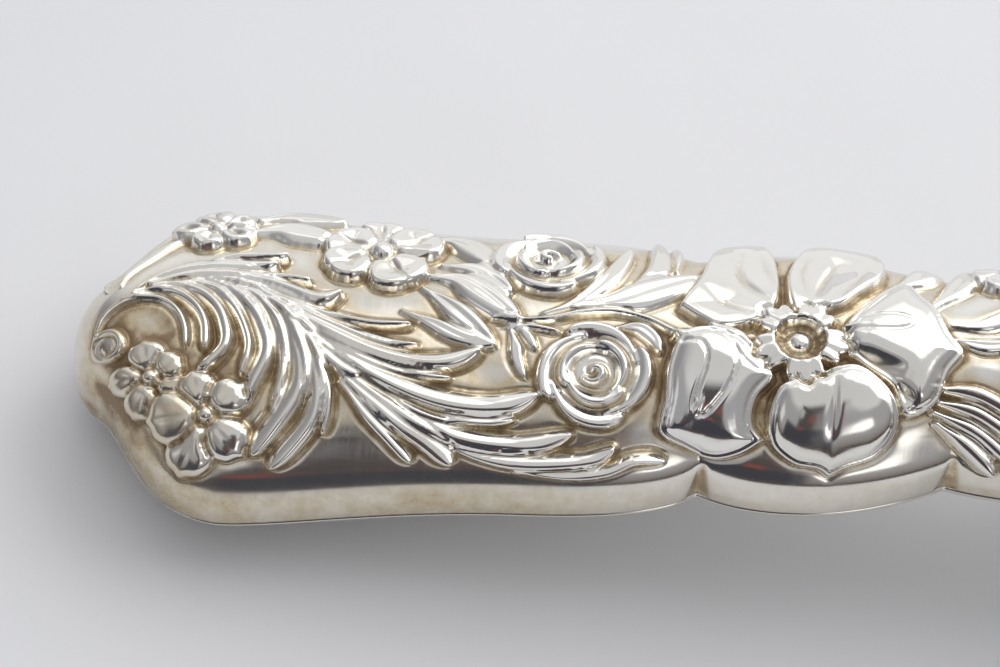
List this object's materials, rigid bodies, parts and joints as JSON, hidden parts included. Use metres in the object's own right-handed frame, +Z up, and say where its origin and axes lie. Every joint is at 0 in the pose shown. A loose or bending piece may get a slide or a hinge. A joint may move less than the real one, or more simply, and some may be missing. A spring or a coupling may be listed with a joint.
{
  "type": "vanity hairbrush",
  "caption": "Oval dressing-table hairbrush with a stamped silver back, a lobed drooping handle and staggered rows of bristle tufts.",
  "frame": {"origin": "middle of the brush's outline, on the surface that the bristle tips stand on", "axes": "+X from the handle to the head, +Y across the handle, +Z up out of the decorated back"},
  "size_m": [0.232, 0.0792, 0.0286],
  "materials": {
    "silver": "polished sterling silver, tarnished in the hollows",
    "steel": "plain bar",
    "cement": "hard pitch cement",
    "ebonised_wood": "dark, waxed",
    "plain_wood": "raw",
    "bristle": "natural boar bristle",
    "brass": "small round-headed pins"
  },
  "bodies": {
    "root": {"back_shell": "silver", "handle_under_shell": "silver", "head_bezel": "silver", "stiffening_tang": "steel", "handle_cement": "cement", "head_cement": "cement", "bristle_board": "ebonised_wood", "cover_board": "plain_wood", "bristle_row_01": "bristle", "bristle_row_02": "bristle", "bristle_row_03": "bristle", "bristle_row_04": "bristle", "bristle_row_05": "bristle", "bristle_row_06": "bristle", "bristle_row_07": "bristle", "bristle_row_08": "bristle", "bristle_row_09": "bristle", "bristle_row_10": "bristle", "bristle_row_11": "bristle", "board_pin_1": "brass", "board_pin_2": "brass", "board_pin_3": "brass", "board_pin_4": "brass", "board_pin_5": "brass", "board_pin_6": "brass"}
  },
  "joints": []
}
